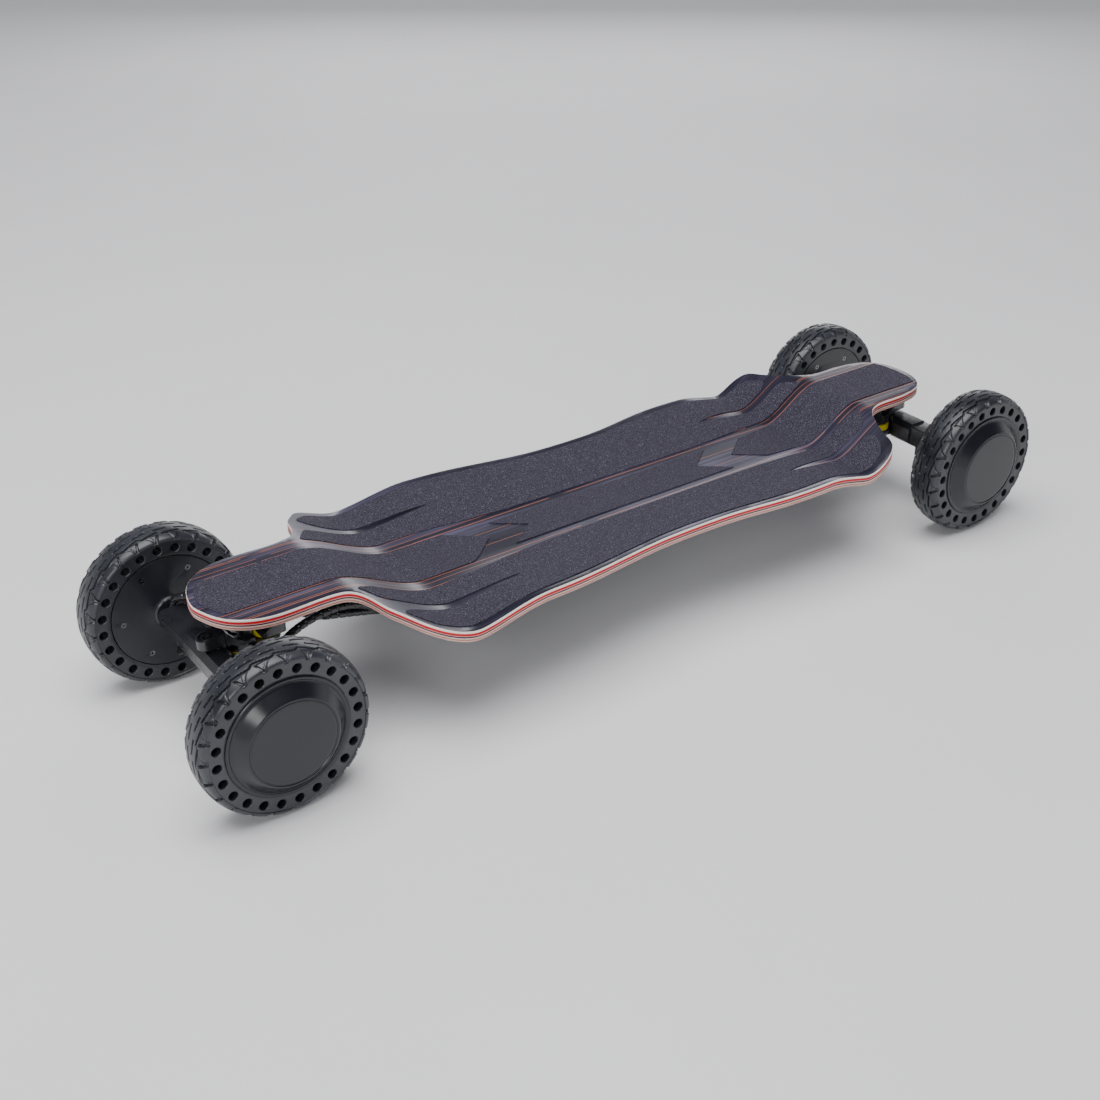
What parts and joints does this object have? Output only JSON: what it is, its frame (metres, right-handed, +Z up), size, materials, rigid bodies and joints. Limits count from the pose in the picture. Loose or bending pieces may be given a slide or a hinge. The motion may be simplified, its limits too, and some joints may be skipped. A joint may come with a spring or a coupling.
{
  "type": "electric skateboard",
  "caption": "All-terrain electric longboard: drop deck, double-kingpin trucks, airless tyres, rear hub motors, battery box",
  "frame": {"origin": "on the ground under the middle of the board, between the two axles", "axes": "+X to the front of the board, +Y to its left side, +Z up"},
  "size_m": [1.115, 0.33, 0.175],
  "materials": {
    "deck_wood": "lacquered maple plies",
    "grip": "coarse grit sheet",
    "steel": "zinc plated",
    "black_metal": "satin black",
    "axle_steel": "ground",
    "core": "varnished laminations",
    "magnet": "nickel plated",
    "bushing": "yellow urethane",
    "pad": "black rubber",
    "foam": "closed cell foam",
    "tyre": "black rubber",
    "hub": "satin black",
    "box": "fine texture",
    "cell": "shrink sleeve",
    "board": "solder mask",
    "aluminium": "bead blasted",
    "button": "satin",
    "lead": "spiral wrapped"
  },
  "bodies": {
    "board": {"deck": "deck_wood", "grip_tape": "grip", "deck_inserts": "steel", "battery_box": "box", "box_gasket": "foam", "box_screws": "steel", "battery_cells": "cell", "battery_board": "board", "speed_controller": "aluminium", "charge_port": "button", "riser_pads": "pad", "inner_kingpins": "steel", "inner_kingpin_nuts": "steel", "truck_bolts": "steel", "rear_baseplate": "black_metal", "front_baseplate": "black_metal", "rear_inner_bushings": "bushing", "front_inner_bushings": "bushing", "motor_leads_inner": "lead"},
    "button": {"power_button": "button"},
    "port_cap": {"charge_port_cap": "pad"},
    "rear_arm": {"rear_arm": "black_metal", "rear_outer_kingpin": "steel", "rear_arm_hardware": "black_metal", "rear_outer_bushings": "bushing", "lead_clips": "black_metal"},
    "rear_hanger": {"rear_hanger": "black_metal", "rear_clamp_bolts": "steel", "rear_axles": "axle_steel", "motor_stators": "core", "motor_leads_outer": "lead"},
    "rear_left_wheel": {"rear_left_tyre": "tyre", "rear_left_hub": "hub", "rear_left_inner_cover": "hub", "rear_left_cover_screws": "steel", "rear_left_bearings": "axle_steel", "rear_left_magnets": "magnet"},
    "rear_right_wheel": {"rear_right_tyre": "tyre", "rear_right_hub": "hub", "rear_right_inner_cover": "hub", "rear_right_cover_screws": "steel", "rear_right_bearings": "axle_steel", "rear_right_magnets": "magnet"},
    "front_arm": {"front_arm": "black_metal", "front_outer_kingpin": "steel", "front_arm_hardware": "black_metal", "front_outer_bushings": "bushing"},
    "front_hanger": {"front_hanger": "black_metal", "front_clamp_bolts": "steel", "front_axles": "axle_steel"},
    "front_left_wheel": {"front_left_tyre": "tyre", "front_left_hub": "hub", "front_left_inner_cover": "hub", "front_left_cover_screws": "steel", "front_left_bearings": "axle_steel"},
    "front_right_wheel": {"front_right_tyre": "tyre", "front_right_hub": "hub", "front_right_inner_cover": "hub", "front_right_cover_screws": "steel", "front_right_bearings": "axle_steel"}
  },
  "joints": [
    {"name": "rear_arm_tilt", "type": "hinge", "parent": "board", "child": "rear_arm", "pos_m": [-0.417, 0, 0.1035], "axis": [-0.7071, 0, 0.7071], "range_deg": [-12, 12], "stiffness_Nm_per_rad": 60, "deforming": ["rear_inner_bushings", "motor_leads_inner"]},
    {"name": "rear_hanger_tilt", "type": "hinge", "parent": "rear_arm", "child": "rear_hanger", "pos_m": [-0.446, 0, 0.092], "axis": [-0.7071, 0, 0.7071], "range_deg": [-12, 12], "stiffness_Nm_per_rad": 60, "deforming": ["rear_outer_bushings", "motor_leads_outer"]},
    {"name": "rear_left_wheel_spin", "type": "hinge", "parent": "rear_hanger", "child": "rear_left_wheel", "pos_m": [-0.47, 0.13325, 0.0875], "axis": [0, 1, 0], "continuous": true},
    {"name": "rear_right_wheel_spin", "type": "hinge", "parent": "rear_hanger", "child": "rear_right_wheel", "pos_m": [-0.47, -0.13325, 0.0875], "axis": [0, 1, 0], "continuous": true},
    {"name": "front_arm_tilt", "type": "hinge", "parent": "board", "child": "front_arm", "pos_m": [0.417, 0, 0.1035], "axis": [0.7071, 0, 0.7071], "range_deg": [-12, 12], "stiffness_Nm_per_rad": 60, "deforming": ["front_inner_bushings"]},
    {"name": "front_hanger_tilt", "type": "hinge", "parent": "front_arm", "child": "front_hanger", "pos_m": [0.446, 0, 0.092], "axis": [0.7071, 0, 0.7071], "range_deg": [-12, 12], "stiffness_Nm_per_rad": 60, "deforming": ["front_outer_bushings"]},
    {"name": "front_left_wheel_spin", "type": "hinge", "parent": "front_hanger", "child": "front_left_wheel", "pos_m": [0.47, 0.13325, 0.0875], "axis": [0, 1, 0], "continuous": true},
    {"name": "front_right_wheel_spin", "type": "hinge", "parent": "front_hanger", "child": "front_right_wheel", "pos_m": [0.47, -0.13325, 0.0875], "axis": [0, 1, 0], "continuous": true},
    {"name": "button_press", "type": "slide", "parent": "board", "child": "button", "axis": [-1, 0, 0], "range_m": [0, 0.0015], "stiffness_N_per_m": 400},
    {"name": "port_cap_swing", "type": "hinge", "parent": "board", "child": "port_cap", "pos_m": [0.2173, -0.028, 0.0986], "axis": [0, -1, 0], "range_deg": [0, 80]}
  ]
}
